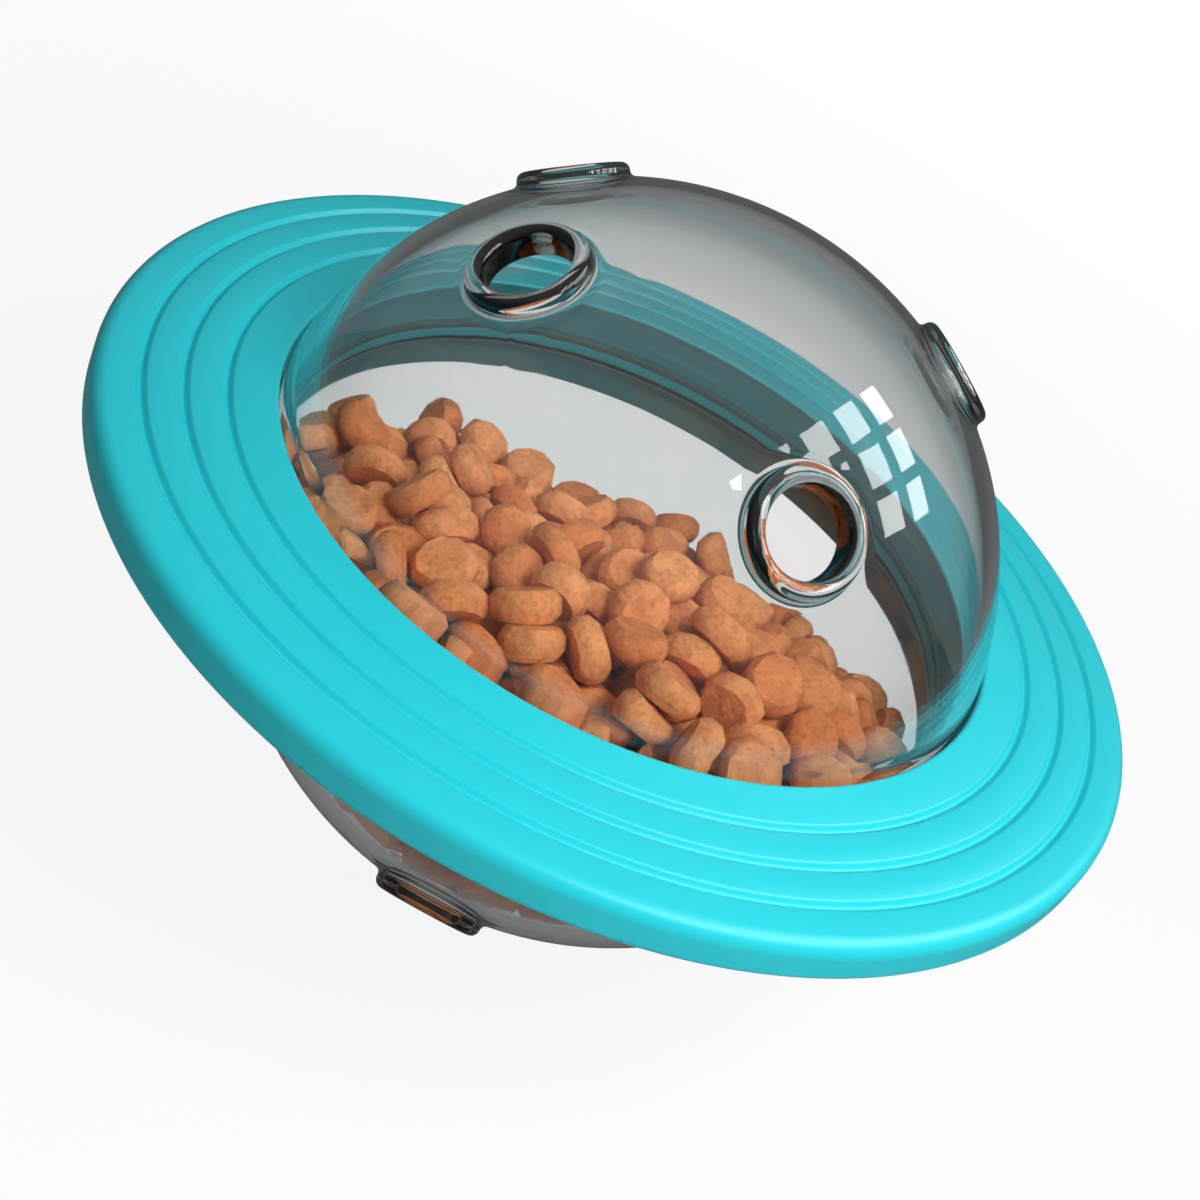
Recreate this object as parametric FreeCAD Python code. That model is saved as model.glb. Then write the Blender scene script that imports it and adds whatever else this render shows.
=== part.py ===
import FreeCAD, Part

import math
import os

from FreeCAD import Placement, Rotation, Vector

# Rolling treat ball with a flat saucer ring: two clear domes screw into the hub of a hollow ring.
# Millimetres. The origin is the centre of the ball, +Z runs along the ring's axis, and -Y is the front.
# The ring and the seals are drawn about the ring's middle plane and raised into place at the end.

# Driving dimensions of the ball
DOME_RADIUS = 53.4
DOME_WALL = 2.2
# How far the upper dome's straight collar stands in from the ball's greatest radius
COLLAR_STEP = 1.5
HOLE_RADIUS = 5.4
BEAD_WIDTH = 2.4
BEAD_SHOULDER = 0.8
BEAD_ROOT = 1.0
# Azimuth and angle from the pole of each treat hole, in degrees
TREAT_HOLES = ((217.7, 37.1), (296.8, 45.6), (29.0, 37.0), (155.0, 38.5))
# The lower dome's holes are the upper ones turned over, then turned about the axis by this angle
LOWER_DOME_TURN = 207.0

# Straight bands that stand for the curve of a bead's crest and of the ring's rim
BEAD_BAND_COUNT = 3
RIM_BAND_COUNT = 3

# Driving dimensions of the ring
RING_RADIUS = 75.0
# Height of the ring's middle plane over the centre of the ball
RING_RISE = 3.8
RING_HALF_HEIGHT = 8.6
RIM_HEIGHT = 5.5
RIM_TOP_ROUND = 1.5
RIM_CHAMFER = 0.8
PLATE_WALL = 2.4
LIP_WALL = 2.2
HUB_WALL = 2.0
HUB_CHAMFER = 0.6
HUB_FOOT_WIDTH = 3.7
GROOVE_RADII = (58.9, 64.2, 69.3)
GROOVE_WIDTH = 1.3
GROOVE_DEPTH = 0.6
LIP_OVERLAP = 1.8
LAP_HEIGHT = 2.5
RIB_COUNT = 8
RIB_WALL = 1.6

# The ledge inside the hub, and the seal ring on each side of it
LEDGE_HEIGHT = 1.6
SEAL_HEIGHT = 1.2
SEAL_LIP = 0.4

# Clearances
DOME_RUNNING_CLEARANCE = 0.4
SEAT_GAP = 0.2
SHELL_FIT = 0.15
FILL_CLEARANCE = 0.6

# Kibble
KIBBLE_RADIUS = 4.7
KIBBLE_CAP_RADIUS = 3.0
KIBBLE_HEIGHT = 4.8
KIBBLE_SIDE_COUNT = 7
KIBBLE_GAP = 0.5
KIBBLE_REST = 0.3
KIBBLE_TILT = 5.0
LOOSE_KIBBLE_TILT = 14.0
FILL_LEVEL = -5.2
FILL_SLOPE = 13.0

# Bed of kibble under the separate discs, with one layer of discs that lie flat against the dome
BED_SIDE_COUNT = 20
BED_BAND_COUNT = 5
BED_RELIEF = 3.6
WALL_PITCH = 11.0
WALL_ROW_COUNT = 6
HOLLOW_MARGIN = 0.8

# What follows from the driving dimensions
DOME_INNER_RADIUS = DOME_RADIUS - DOME_WALL
COLLAR_RADIUS = DOME_RADIUS - COLLAR_STEP
COLLAR_INNER_RADIUS = COLLAR_RADIUS - DOME_WALL
UPPER_BORE = COLLAR_RADIUS + DOME_RUNNING_CLEARANCE
LOWER_BORE = DOME_RADIUS + DOME_RUNNING_CLEARANCE
HUB_OUTSIDE = LOWER_BORE + HUB_WALL
HUB_FOOT_RADIUS = LOWER_BORE + HUB_FOOT_WIDTH
LAP_RADIUS = (UPPER_BORE + HUB_OUTSIDE) / 2
LEDGE_TOP = LEDGE_HEIGHT / 2
RIM_OVER_LEDGE = LEDGE_TOP + SEAL_HEIGHT + SEAT_GAP
UPPER_RIM = RING_RISE + RIM_OVER_LEDGE
LOWER_RIM = RING_RISE - RIM_OVER_LEDGE
KIBBLE_REACH = DOME_INNER_RADIUS - FILL_CLEARANCE
COLLAR_REACH = COLLAR_INNER_RADIUS - FILL_CLEARANCE
RIM_BOTTOM = RING_HALF_HEIGHT - RIM_HEIGHT
PLATE_UNDERSIDE = RING_HALF_HEIGHT - PLATE_WALL
CUTTER_MARGIN = 2.0

AXIS = Vector(0, 0, 1)
CENTRE = Vector(0, 0, 0)
SAME_POINT = 1e-6


class Section:
    """A closed outline in the XZ half plane, drawn as straight sides and arcs and spun about Z."""

    def __init__(self, radius, height):
        self.first = Vector(radius, 0, height)
        self.last = self.first
        self.edges = []

    def line(self, radius, height):
        """Draws a straight side to the given radius and height."""
        end = Vector(radius, 0, height)
        if (end - self.last).Length > SAME_POINT:
            self.edges.append(Part.LineSegment(self.last, end).toShape())
            self.last = end
        return self

    def bend(self, centre, reach, start, end, bands):
        """Draws an arc about a (radius, height) centre as bands, between two angles from the radius."""
        for step in range(bands + 1):
            turn = math.radians(start + (end - start) * step / bands)
            self.line(centre[0] + reach * math.cos(turn), centre[1] + reach * math.sin(turn))
        return self

    def sweep(self, radius, height):
        """Draws the short arc about the ball's centre to the given radius and height."""
        end = Vector(radius, 0, height)
        through = self.last + end
        through.normalize()
        self.edges.append(Part.Arc(self.last, through * end.Length, end).toShape())
        self.last = end
        return self

    def spin(self):
        """Closes the outline and returns the full solid of revolution."""
        self.line(self.first.x, self.first.z)
        face = Part.Face(Part.Wire(self.edges))
        return face.revolve(CENTRE, AXIS, 360)


def height_on(radius, distance):
    """Height above the centre of a circle of the given radius, at a distance from the axis."""
    return math.sqrt(radius * radius - distance * distance)


def direction(azimuth, polar):
    """Unit vector at an azimuth and an angle from +Z, in degrees."""
    around = math.radians(azimuth)
    down = math.radians(polar)
    return Vector(math.sin(down) * math.cos(around), math.sin(down) * math.sin(around), math.cos(down))


def along(axis):
    """Placement that turns +Z onto the given axis about the ball's centre."""
    return Placement(CENTRE, Rotation(AXIS, axis))


def dome_wall(collar, rim):
    """A dome's even wall: part of a sphere from its pole, then a straight collar down to its rim."""
    inner_collar = collar - DOME_WALL
    wall = Section(inner_collar, rim).line(collar, rim)
    wall.line(collar, height_on(DOME_RADIUS, collar))
    wall.sweep(0, DOME_RADIUS)
    wall.line(0, DOME_INNER_RADIUS)
    wall.sweep(inner_collar, height_on(DOME_INNER_RADIUS, inner_collar))
    return wall.spin()


def treat_bead():
    """Rounded bead that stands up round a treat hole, drawn about the +Z pole."""
    outer = HOLE_RADIUS + BEAD_WIDTH
    foot = DOME_RADIUS - DOME_WALL / 2
    base = height_on(DOME_RADIUS, outer)
    crest = (HOLE_RADIUS + BEAD_WIDTH / 2, base + BEAD_SHOULDER)
    bead = Section(HOLE_RADIUS - BEAD_ROOT, foot).line(HOLE_RADIUS - BEAD_ROOT, base)
    bead.bend(crest, BEAD_WIDTH / 2, 180, 0, BEAD_BAND_COUNT)
    bead.line(outer, foot)
    return bead.spin()


def make_dome(collar, rim):
    """Clear dome, pole up, with a raised bead round each treat hole."""
    dome = dome_wall(collar, rim)
    reach = DOME_RADIUS + BEAD_SHOULDER + BEAD_WIDTH + CUTTER_MARGIN
    bead = treat_bead()
    bore = Part.makeCylinder(HOLE_RADIUS, reach - DOME_INNER_RADIUS / 2, Vector(0, 0, DOME_INNER_RADIUS / 2))
    for azimuth, polar in TREAT_HOLES:
        place = along(direction(azimuth, polar))
        placed_bead = bead.copy()
        placed_bead.Placement = place
        dome = dome.fuse(placed_bead)
        placed_bore = bore.copy()
        placed_bore.Placement = place
        dome = dome.cut(placed_bore)
    return dome.removeSplitter()


def lower_placement():
    """Turns a dome over about X and then about the axis, into the lower dome's place."""
    flip = Placement(CENTRE, Rotation(Vector(1, 0, 0), 180))
    turn = Placement(CENTRE, Rotation(AXIS, LOWER_DOME_TURN))
    return turn.multiply(flip)


def turned_over(shape):
    """The shape in the lower dome's place."""
    copy = shape.copy()
    copy.Placement = lower_placement()
    return copy


def groove_cutter(radius):
    """Ring of V section that cuts one fine groove into the ring's top."""
    top = RING_HALF_HEIGHT
    half = GROOVE_WIDTH / 2
    return Section(radius - half, top).line(radius, top - GROOVE_DEPTH).line(radius + half, top).spin()


def make_ring_upper_shell():
    """Flat top plate with its outer lip and the upper half of the hub wall."""
    top = RING_HALF_HEIGHT
    lip_inside = RING_RADIUS - LIP_WALL
    lap_radius = LAP_RADIUS - SHELL_FIT / 2
    parting = LEDGE_TOP + SHELL_FIT
    lap_top = LEDGE_TOP + LAP_HEIGHT + SHELL_FIT
    shell = Section(UPPER_BORE, parting).line(UPPER_BORE, top - HUB_CHAMFER)
    shell.line(UPPER_BORE + HUB_CHAMFER, top)
    shell.bend((RING_RADIUS - RIM_TOP_ROUND, top - RIM_TOP_ROUND), RIM_TOP_ROUND, 90, 0, RIM_BAND_COUNT)
    shell.line(RING_RADIUS, RIM_BOTTOM + RIM_CHAMFER).line(RING_RADIUS - RIM_CHAMFER, RIM_BOTTOM)
    shell.line(lip_inside, RIM_BOTTOM).line(lip_inside, PLATE_UNDERSIDE)
    shell.line(HUB_OUTSIDE, PLATE_UNDERSIDE).line(HUB_OUTSIDE, lap_top)
    shell.line(lap_radius, lap_top).line(lap_radius, parting)
    plate = shell.spin()
    for radius in GROOVE_RADII:
        plate = plate.cut(groove_cutter(radius))
    return plate


def cone_height(radius, lift=0.0):
    """Height of the ring's conical underside at a radius, raised by a distance along Z."""
    rim_radius = RING_RADIUS - LIP_WALL - SHELL_FIT
    share = (radius - HUB_FOOT_RADIUS) / (rim_radius - HUB_FOOT_RADIUS)
    return -RING_HALF_HEIGHT + share * (RIM_BOTTOM + RING_HALF_HEIGHT) + lift


def cavity_section():
    """The hollow of the ring above its floor, let into the lower shell's walls so that ribs root there."""
    root = LOWER_BORE + HUB_WALL / 2
    clear_of_hub = HUB_OUTSIDE + SHELL_FIT
    outer = RING_RADIUS - LIP_WALL - SHELL_FIT - LIP_WALL / 2
    roof = PLATE_UNDERSIDE - SHELL_FIT
    return (
        Section(clear_of_hub, roof)
        .line(outer, roof)
        .line(outer, cone_height(outer, PLATE_WALL / 2))
        .line(HUB_FOOT_RADIUS, cone_height(HUB_FOOT_RADIUS, PLATE_WALL / 2))
        .line(root, -RING_HALF_HEIGHT + PLATE_WALL / 2)
        .line(root, -LEDGE_TOP)
        .line(clear_of_hub, -LEDGE_TOP)
        .spin()
    )


def make_ribs():
    """Radial stiffening ribs that stand on the lower shell's floor, under the top plate."""
    hollow = cavity_section()
    height = 2 * RING_HALF_HEIGHT + 2 * CUTTER_MARGIN
    blade = Part.makeBox(RING_RADIUS, RIB_WALL, height, Vector(0, -RIB_WALL / 2, -height / 2))
    ribs = []
    for index in range(RIB_COUNT):
        turned = blade.copy()
        turned.rotate(CENTRE, AXIS, 360.0 * (index + 0.5) / RIB_COUNT)
        ribs.append(turned.common(hollow))
    return ribs


def make_ring_lower_shell():
    """Conical underside with the lower half of the hub wall, the ledge and the ribs."""
    bottom = -RING_HALF_HEIGHT
    rim_radius = RING_RADIUS - LIP_WALL - SHELL_FIT
    rim_inside = rim_radius - LIP_WALL
    lap_radius = LAP_RADIUS + SHELL_FIT / 2
    rim_top = RIM_BOTTOM + LIP_OVERLAP
    floor = bottom + PLATE_WALL
    shell = Section(COLLAR_INNER_RADIUS, -LEDGE_TOP).line(COLLAR_INNER_RADIUS, LEDGE_TOP)
    shell.line(lap_radius, LEDGE_TOP).line(lap_radius, LEDGE_TOP + LAP_HEIGHT)
    shell.line(HUB_OUTSIDE, LEDGE_TOP + LAP_HEIGHT).line(HUB_OUTSIDE, floor)
    shell.line(HUB_FOOT_RADIUS, floor)
    shell.line(rim_inside, cone_height(rim_inside, PLATE_WALL)).line(rim_inside, rim_top)
    shell.line(rim_radius, rim_top).line(rim_radius, RIM_BOTTOM)
    shell.line(HUB_FOOT_RADIUS, bottom).line(LOWER_BORE + HUB_CHAMFER, bottom)
    shell.line(LOWER_BORE, bottom + HUB_CHAMFER)
    shell.line(LOWER_BORE, -LEDGE_TOP)
    return shell.spin().multiFuse(make_ribs()).removeSplitter()


def make_seal(bore):
    """Silicone ring between the ledge and the rim of the dome in a bore, crowned towards the rim."""
    outer = bore - DOME_RUNNING_CLEARANCE / 2
    inner = bore - DOME_RUNNING_CLEARANCE - DOME_WALL
    base = LEDGE_TOP + SEAT_GAP / 2
    top = RIM_OVER_LEDGE - SEAT_GAP / 2
    shoulder = top - SEAL_LIP
    ring = Section(inner, base).line(outer, base).line(outer, shoulder)
    ring.line((inner + outer) / 2, top).line(inner, shoulder)
    return ring.spin()


def raised(shape):
    """The shape moved from the ball's centre up to the ring's middle plane."""
    return shape.translated(Vector(0, 0, RING_RISE))


def stacked(sides, rings):
    """Solid of flat faces through even-sided rings, each a (radius, height) pair about Z."""
    corners = []
    for radius, height in rings:
        turns = [2 * math.pi * side / sides for side in range(sides + 1)]
        corners.append([Vector(radius * math.cos(turn), radius * math.sin(turn), height) for turn in turns])
    faces = [Part.Face(Part.makePolygon(corners[0])), Part.Face(Part.makePolygon(corners[-1]))]
    for low, high in zip(corners, corners[1:]):
        for side in range(sides):
            loop = [low[side], low[side + 1], high[side + 1], high[side], low[side]]
            faces.append(Part.Face(Part.makePolygon(loop)))
    solid = Part.Solid(Part.Shell(faces))
    solid.fix(1e-7, 1e-7, 1e-7)
    return solid


def make_kibble():
    """One baked disc, flat on both faces and thin at its edge, lying about the origin."""
    half = KIBBLE_HEIGHT / 2
    rings = ((KIBBLE_CAP_RADIUS, -half), (KIBBLE_RADIUS, 0.0), (KIBBLE_CAP_RADIUS, half))
    return stacked(KIBBLE_SIDE_COUNT, rings)


def heap_placement(column, row, lift, tilt):
    """Place of one kibble of the heap: a row and column of a staggered grid on the sloping surface."""
    pitch = 2 * KIBBLE_RADIUS + KIBBLE_GAP
    across = pitch * (column + 0.5 * (row % 2))
    back = pitch * math.sqrt(0.75) * row
    slope = Rotation(Vector(1, 0, 0), -FILL_SLOPE)
    lean_axis = Vector(math.cos(2.1 * column + row), math.sin(2.1 * column + row), 0)
    lean = Rotation(lean_axis, tilt)
    spot = Vector(0, 0, FILL_LEVEL) + slope.multVec(Vector(across, back, lift))
    return Placement(spot, slope.multiply(lean))


def is_inside(point):
    """Whether a point of the heap is clear of the domes, and of the narrower collar, ledge and seals."""
    in_ball = point.Length < KIBBLE_REACH
    in_collar = math.hypot(point.x, point.y) < COLLAR_REACH
    return in_ball and (in_collar or point.z < LOWER_RIM - FILL_CLEARANCE)


def kibble_layer(lift, tilt, keep):
    """Kibbles of one layer of the heap that fit inside the ball, where keep(column, row) says so."""
    kibble = make_kibble()
    span = int(DOME_INNER_RADIUS / KIBBLE_RADIUS)
    layer = []
    for row in range(-span, span + 1):
        for column in range(-span, span + 1):
            placed = kibble.copy()
            placed.Placement = heap_placement(column, row, lift, tilt)
            inside = all(is_inside(vertex.Point) for vertex in placed.Vertexes)
            if inside and keep(column, row):
                layer.append(placed)
    return layer


def make_kibble_top():
    """The heap's surface: one full layer and loose pieces that lie tilted on it."""
    tilt_height = KIBBLE_RADIUS * math.sin(math.radians(KIBBLE_TILT))
    loose_lift = KIBBLE_HEIGHT + tilt_height + KIBBLE_REST
    full = kibble_layer(0.0, KIBBLE_TILT, lambda column, row: True)
    loose = kibble_layer(loose_lift, LOOSE_KIBBLE_TILT, lambda column, row: (2 * column + row) % 4 == 0)
    return Part.makeCompound(full + loose)


def bed_core():
    """Faceted bowl under the wall discs, with a straight side above the ball's middle."""
    reach = KIBBLE_REACH - BED_RELIEF
    rings = []
    for band in range(BED_BAND_COUNT):
        turn = math.pi / 2 * (band + 0.5) / BED_BAND_COUNT
        rings.append((reach * math.sin(turn), -reach * math.cos(turn)))
    rings.append((reach, 0.0))
    rings.append((reach, DOME_INNER_RADIUS))
    return stacked(BED_SIDE_COUNT, rings)


def wall_discs(depth):
    """Discs flat against the lower dome, in rings about its pole, clear of its holes and the bed's top."""
    centre_reach = height_on(KIBBLE_REACH, KIBBLE_CAP_RADIUS) - KIBBLE_HEIGHT / 2
    slope = Rotation(Vector(1, 0, 0), -FILL_SLOPE)
    keep_off = HOLE_RADIUS + HOLLOW_MARGIN + KIBBLE_RADIUS
    holes = [lower_placement().multVec(direction(*hole)) for hole in TREAT_HOLES]
    kibble = make_kibble()
    discs = []
    for row in range(WALL_ROW_COUNT + 1):
        polar = 180 - math.degrees(row * WALL_PITCH / centre_reach)
        around = 2 * math.pi * centre_reach * math.sin(math.radians(polar))
        count = max(1, int(around / WALL_PITCH))
        for index in range(count):
            axis = direction(360.0 * (index + 0.5 * (row % 2)) / count, polar)
            spot = axis * centre_reach
            near_hole = any((hole * centre_reach - spot).Length < keep_off for hole in holes)
            disc = kibble.copy()
            disc.Placement = Placement(spot, Rotation(AXIS, axis))
            points = [slope.inverted().multVec(v.Point - Vector(0, 0, FILL_LEVEL)) for v in disc.Vertexes]
            covered = all(point.z < -depth for point in points)
            if covered and not near_hole:
                discs.append(disc)
    return discs


def make_kibble_bed():
    """The rest of the fill up to the separate kibbles, with the discs that show through the dome."""
    tilt_height = KIBBLE_RADIUS * math.sin(math.radians(KIBBLE_TILT))
    depth = KIBBLE_HEIGHT / 2 + tilt_height
    size = 4 * DOME_RADIUS
    above = Part.makeBox(size, size, size, Vector(-size / 2, -size / 2, -depth))
    above.Placement = Placement(Vector(0, 0, FILL_LEVEL), Rotation(Vector(1, 0, 0), -FILL_SLOPE))
    return bed_core().cut(above).multiFuse(wall_discs(depth))


def main():
    """Builds every piece and writes each to its own file."""
    os.makedirs("parts", exist_ok=True)
    pieces = {
        "upper_dome": make_dome(COLLAR_RADIUS, UPPER_RIM),
        "lower_dome": turned_over(make_dome(DOME_RADIUS, -LOWER_RIM)),
        "ring_upper_shell": raised(make_ring_upper_shell()),
        "ring_lower_shell": raised(make_ring_lower_shell()),
        "upper_seal": raised(make_seal(UPPER_BORE)),
        "lower_seal": raised(make_seal(LOWER_BORE).mirror(CENTRE, AXIS)),
        "kibble_top": make_kibble_top(),
        "kibble_bed": make_kibble_bed(),
    }
    for name, shape in pieces.items():
        shape.exportStep("parts/" + name + ".step")
        solids = len(shape.Solids)
        print(name, "solids", solids, "valid", shape.isValid(), "volume", round(shape.Volume, 1))


main()
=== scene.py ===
import logging
import math
from collections.abc import Sequence
from dataclasses import dataclass, field
from enum import Enum

import bmesh
import bpy
import numpy as np
from mathutils import Matrix, Vector


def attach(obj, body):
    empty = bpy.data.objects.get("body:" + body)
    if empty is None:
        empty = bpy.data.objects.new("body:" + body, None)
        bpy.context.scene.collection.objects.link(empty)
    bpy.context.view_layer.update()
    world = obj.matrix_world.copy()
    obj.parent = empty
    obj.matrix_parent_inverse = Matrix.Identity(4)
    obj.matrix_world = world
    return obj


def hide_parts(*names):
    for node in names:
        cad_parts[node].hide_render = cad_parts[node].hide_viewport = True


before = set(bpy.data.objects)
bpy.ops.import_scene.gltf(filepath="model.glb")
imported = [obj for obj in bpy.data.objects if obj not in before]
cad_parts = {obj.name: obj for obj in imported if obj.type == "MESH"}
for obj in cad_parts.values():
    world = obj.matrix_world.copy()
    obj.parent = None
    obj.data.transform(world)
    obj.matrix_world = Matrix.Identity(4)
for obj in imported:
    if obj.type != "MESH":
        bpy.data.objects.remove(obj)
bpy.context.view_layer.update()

# Looks of a rolling treat ball: two clear domes screwed into a flat turquoise saucer ring, nearly
# half full of baked kibble. Sizes are millimetres until a mesh is made. The frame is the one of the
# solids: the origin is the ball's centre, +Z the ring's axis and -Y the front.

MM = 0.001
LOG = logging.getLogger("treat_ball")

Tree = bpy.types.NodeTree
Socket = bpy.types.NodeSocket
Value = float | Socket
Material = bpy.types.Material
Item = bpy.types.Object
Pair = tuple[float, float]
Triple = tuple[float, float, float]


class Body(Enum):
    """Bodies of the frame that the pieces ride on."""

    LOWER_DOME = "lower_dome"
    RING = "ring"
    UPPER_DOME = "upper_dome"


class Slot(Enum):
    """Material slots of the record that the new pieces fill."""

    CLEAR = "clear_polycarbonate"
    TURQUOISE = "turquoise_abs"
    KIBBLE = "baked_kibble"


def linear(colour: str) -> tuple[float, float, float, float]:
    """Turns an sRGB hex colour into linear red, green, blue and an alpha of one.

    Args:
        colour: A colour such as "#22D3E0".

    Returns:
        The linear colour that a shader's socket takes.
    """
    parts = np.array([int(colour[start : start + 2], 16) for start in (1, 3, 5)]) / 255
    curved = ((parts + 0.055) / 1.055) ** 2.4
    return (*np.where(parts <= 0.04045, parts / 12.92, curved).tolist(), 1.0)


def add_node(
    tree: Tree, kind: str, values: dict[str | int, object] | None = None
) -> bpy.types.Node:
    """Adds one node and fills in its inputs and properties.

    Args:
        tree: The material's or world's node tree.
        kind: The node's type, after its common first word.
        values: By an input's name or number, the socket that feeds it or its constant. By a
            property's name, its setting.

    Returns:
        The new node.
    """
    node = tree.nodes.new(f"ShaderNode{kind}")
    for name, value in (values or {}).items():
        if isinstance(value, Socket):
            tree.links.new(value, node.inputs[name])
        elif isinstance(name, int) or name in node.inputs:
            node.inputs[name].default_value = value
        else:
            setattr(node, name, value)
    return node


def add_item(name: str, data: bpy.types.ID) -> Item:
    """Adds one object with its mesh, lamp or camera to the scene."""
    item = bpy.data.objects.new(name, data)
    bpy.context.scene.collection.objects.link(item)
    return item


def new_material(name: str) -> tuple[Material, Tree]:
    """Makes a material with an empty node tree and returns both."""
    material = bpy.data.materials.new(name)
    material.use_nodes = True
    material.node_tree.nodes.clear()
    return material, material.node_tree


def show(tree: Tree, shader: bpy.types.Node) -> None:
    """Links a shader node to the material's output."""
    add_node(tree, "OutputMaterial", {"Surface": shader.outputs[0]})


@dataclass(frozen=True)
class Pattern:
    """Cloudy noise on a piece's own coordinates.

    Its spacing is in millimetres, its detail the number of finer octaves, and its roughness the
    strength of each.
    """

    spacing: float
    detail: float
    roughness: float = 0.5

    def add(self, tree: Tree) -> Socket:
        """Adds the noise to a material and returns its socket, about 0 to 1."""
        place = add_node(tree, "TexCoord")
        cloud = {
            "Vector": place.outputs["Object"],
            "Scale": 1 / (self.spacing * MM),
            "Detail": self.detail,
            "Roughness": self.roughness,
        }
        return add_node(tree, "TexNoise", cloud).outputs["Fac"]


def blend_colours(tree: Tree, share: Socket, first: str | Socket, second: str | Socket) -> Socket:
    """Mixes two colours, each a hex colour or a socket, by the share of the second one."""
    first, second = (linear(one) if isinstance(one, str) else one for one in (first, second))
    mix = add_node(tree, "Mix", {"data_type": "RGBA", 0: share, 6: first, 7: second})
    return mix.outputs[2]


def blend_values(tree: Tree, share: Socket, first: Value, second: Value) -> Socket:
    """Mixes two values, each a number or a socket, by the share of the second one."""
    return add_node(tree, "Mix", {0: share, 2: first, 3: second}).outputs[0]


def calculate(tree: Tree, operation: str, first: Value, second: Value) -> Socket:
    """Adds one arithmetic operation on two values and returns its result."""
    return add_node(tree, "Math", {"operation": operation, 0: first, 1: second}).outputs[0]


def spread(tree: Tree, value: Socket, span: Pair, to: Pair) -> Socket:
    """Maps a value from one span onto another, with its ends held."""
    ends = {"From Min": span[0], "From Max": span[1], "To Min": to[0], "To Max": to[1]}
    return add_node(tree, "MapRange", {"Value": value, **ends}).outputs["Result"]


def bump(tree: Tree, height: Socket, strength: float, depth: float) -> Socket:
    """Adds a relief too fine for the mesh, its depth in millimetres, and returns the normal."""
    relief = {"Height": height, "Strength": strength, "Distance": depth * MM}
    return add_node(tree, "Bump", relief).outputs["Normal"]


@dataclass(frozen=True)
class MouldedAbs:
    """Turquoise ABS, injection moulded: an even satin gloss over a fine spark-eroded grain.

    The real grain is near 0.1 mm and too fine to show, so it is drawn at 0.5 mm. The bore, which no
    light reaches straight, is darker by painted shade that stands in for its shadow.
    """

    light: str = "#24D0DC"
    dark: str = "#21CBD8"
    mottle: Pattern = Pattern(30.0, 2.0)
    # Painted shade: the bore's darker colour stands in for the shadow on the hub's inner wall.
    bore: str = "#0C8790"
    bore_radius: float = 54.0
    bore_top: float = 11.7
    bore_fade: float = 0.5
    grain: Pattern = Pattern(0.5, 1.0)
    grain_span: Pair = (0.3, 0.7)
    grain_strength: float = 0.5
    grain_depth: float = 0.002
    roughness: Pair = (0.3, 0.39)

    def painted_bore_shade(self, tree: Tree) -> Socket:
        """Adds the share of painted shade in the bore: one within its radius and below its top, else
        zero.
        """
        place = add_node(tree, "TexCoord").outputs["Object"]
        flat = add_node(tree, "VectorMath", {"operation": "MULTIPLY", 0: place, 1: (1, 1, 0)})
        radius = add_node(tree, "VectorMath", {"operation": "LENGTH", 0: flat.outputs[0]})
        within = calculate(tree, "LESS_THAN", radius.outputs["Value"], self.bore_radius * MM)
        height = add_node(tree, "SeparateXYZ", {0: place}).outputs["Z"]
        fade = self.bore_top * MM, self.bore_top * MM + self.bore_fade * MM
        return calculate(tree, "MULTIPLY", within, spread(tree, height, fade, (1.0, 0.0)))

    def material(self) -> Material:
        """Returns the material."""
        material, tree = new_material("moulded_abs_turquoise")
        tone = blend_colours(tree, self.mottle.add(tree), self.dark, self.light)
        grain = self.grain.add(tree)
        surface = {
            # The bore gets painted shade, a darker colour in place of its shadow.
            "Base Color": blend_colours(tree, self.painted_bore_shade(tree), tone, self.bore),
            "Roughness": spread(tree, grain, self.grain_span, self.roughness),
            "IOR": 1.52,
            "Specular IOR Level": 0.35,
            "Normal": bump(tree, grain, self.grain_strength, self.grain_depth),
        }
        show(tree, add_node(tree, "BsdfPrincipled", surface))
        return material


@dataclass(frozen=True)
class ClearPolycarbonate:
    """Polycarbonate, moulded clear and polished: faintly smoky, with the soft waves of the mould.

    Lamps reach through it to the kibble, because light bent by glass isn't followed to the lamps.
    The smoke is linear, because it sets how much light a length of wall takes. It darkens the rims.
    """

    tint: str = "#F3F6F6"
    passed: str = "#FAFBFB"
    smoke: tuple[float, float, float, float] = (0.42, 0.46, 0.47, 1.0)
    smoke_density: float = 55.0
    haze: Pattern = Pattern(1.6, 3.0)
    haze_span: Pair = (0.5, 0.8)
    roughness: Pair = (0.015, 0.065)
    wave: Pattern = Pattern(9.0, 1.0)
    wave_strength: float = 0.4
    wave_depth: float = 0.02

    def material(self) -> Material:
        """Returns the material."""
        material, tree = new_material("moulded_polycarbonate_clear")
        surface = {
            "Base Color": linear(self.tint),
            "Roughness": spread(tree, self.haze.add(tree), self.haze_span, self.roughness),
            "IOR": 1.58,
            "Transmission Weight": 1.0,
            "Normal": bump(tree, self.wave.add(tree), self.wave_strength, self.wave_depth),
        }
        glass = add_node(tree, "BsdfPrincipled", surface)
        lit = add_node(tree, "BsdfTransparent", {"Color": linear(self.passed)})
        shadow = add_node(tree, "LightPath").outputs["Is Shadow Ray"]
        shader = add_node(tree, "MixShader", {0: shadow, 1: glass.outputs[0], 2: lit.outputs[0]})
        taken = {"Color": self.smoke, "Density": self.smoke_density}
        smoke = add_node(tree, "VolumeAbsorption", taken).outputs[0]
        add_node(tree, "OutputMaterial", {"Surface": shader.outputs[0], "Volume": smoke})
        return material


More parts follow.
